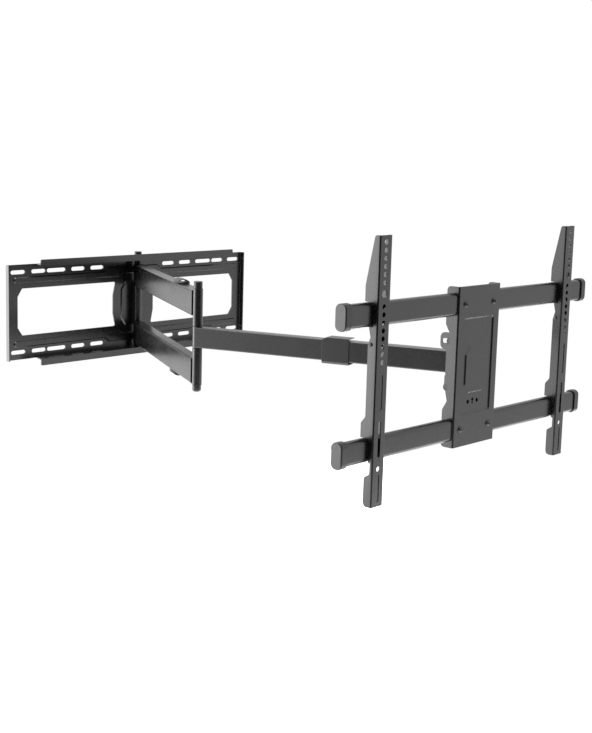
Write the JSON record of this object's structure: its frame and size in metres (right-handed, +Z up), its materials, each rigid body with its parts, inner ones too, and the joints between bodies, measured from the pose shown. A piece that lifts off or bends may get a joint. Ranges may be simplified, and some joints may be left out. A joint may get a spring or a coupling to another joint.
{
  "type": "full motion tv wall mount",
  "caption": "Full motion wall mount for a large TV: wall plate, two-stage folding arm, swivel and tilt head, and a frame of rails with sliding uprights",
  "frame": {"origin": "centre of the wall plate's back face, on the wall", "axes": "+Y into the wall, +Z up, +X to the right for someone facing the wall; the TV side faces -Y"},
  "size_m": [0.8515, 1.0642, 0.443],
  "materials": {
    "black_powder_coat": "fine textured black powder coat, satin",
    "black_plastic": "moulded black plastic, satin",
    "black_fastener": "black zinc plated steel"
  },
  "bodies": {
    "wall_frame": {"wall_plate": "black_powder_coat", "wall_pivot_bolt": "black_fastener", "wall_pivot_nut": "black_fastener", "wall_bush_top": "black_plastic", "wall_bush_bottom": "black_plastic"},
    "first_arm": {"wall_barrel": "black_powder_coat", "upper_arm_tube": "black_powder_coat", "lower_arm_tube": "black_powder_coat", "upper_elbow_barrel": "black_powder_coat", "lower_elbow_barrel": "black_powder_coat", "cable_loop": "black_plastic", "cable_clip": "black_plastic", "elbow_pin": "black_fastener", "elbow_cap_top": "black_plastic", "elbow_cap_bottom": "black_plastic", "upper_elbow_washer": "black_plastic", "lower_elbow_washer": "black_plastic"},
    "second_arm": {"elbow_hub": "black_powder_coat", "second_arm_tube": "black_powder_coat", "head_barrel": "black_powder_coat", "cable_sleeve": "black_plastic"},
    "swivel_head": {"swivel_yoke": "black_powder_coat", "head_pivot_bolt": "black_fastener", "head_pivot_nut": "black_fastener", "head_washer_top": "black_plastic", "head_washer_bottom": "black_plastic", "left_tilt_pivot_bolt": "black_fastener", "right_tilt_pivot_bolt": "black_fastener", "left_tilt_lock_bolt": "black_fastener", "right_tilt_lock_bolt": "black_fastener"},
    "tv_frame": {"centre_plate": "black_powder_coat", "tilt_bracket": "black_powder_coat", "upper_rail": "black_powder_coat", "lower_rail": "black_powder_coat", "upper_left_end_cap": "black_plastic", "upper_right_end_cap": "black_plastic", "lower_left_end_cap": "black_plastic", "lower_right_end_cap": "black_plastic", "upper_left_rail_bolt": "black_fastener", "upper_right_rail_bolt": "black_fastener", "lower_left_rail_bolt": "black_fastener", "lower_right_rail_bolt": "black_fastener", "upper_left_rivet_nut": "black_fastener", "upper_right_rivet_nut": "black_fastener", "lower_left_rivet_nut": "black_fastener", "lower_right_rivet_nut": "black_fastener"},
    "left_upright": {"left_upright": "black_powder_coat", "left_rail_latch": "black_plastic", "left_latch_screw": "black_fastener"},
    "right_upright": {"right_upright": "black_powder_coat", "right_rail_latch": "black_plastic", "right_latch_screw": "black_fastener"}
  },
  "joints": [
    {"name": "wall_swivel", "type": "hinge", "parent": "wall_frame", "child": "first_arm", "pos_m": [0, -0.0185, 0], "axis": [0, 0, 1], "range_deg": [-58, 75]},
    {"name": "elbow", "type": "hinge", "parent": "first_arm", "child": "second_arm", "pos_m": [-0.27638, -0.50681, 0], "axis": [0, 0, -1], "range_deg": [-80, 120]},
    {"name": "head_swivel", "type": "hinge", "parent": "second_arm", "child": "swivel_head", "pos_m": [-0.12249, -1.00519, 0], "axis": [0, 0, 1], "range_deg": [-72, 107]},
    {"name": "tilt", "type": "hinge", "parent": "swivel_head", "child": "tv_frame", "pos_m": [-0.12249, -1.03639, -0.036], "axis": [1, 0, 0], "range_deg": [-3, 6]},
    {"name": "left_upright_slide", "type": "slide", "parent": "tv_frame", "child": "left_upright", "axis": [1, 0, 0], "range_m": [-0.05, 0.195]},
    {"name": "right_upright_slide", "type": "slide", "parent": "tv_frame", "child": "right_upright", "axis": [1, 0, 0], "range_m": [-0.195, 0.05]}
  ]
}
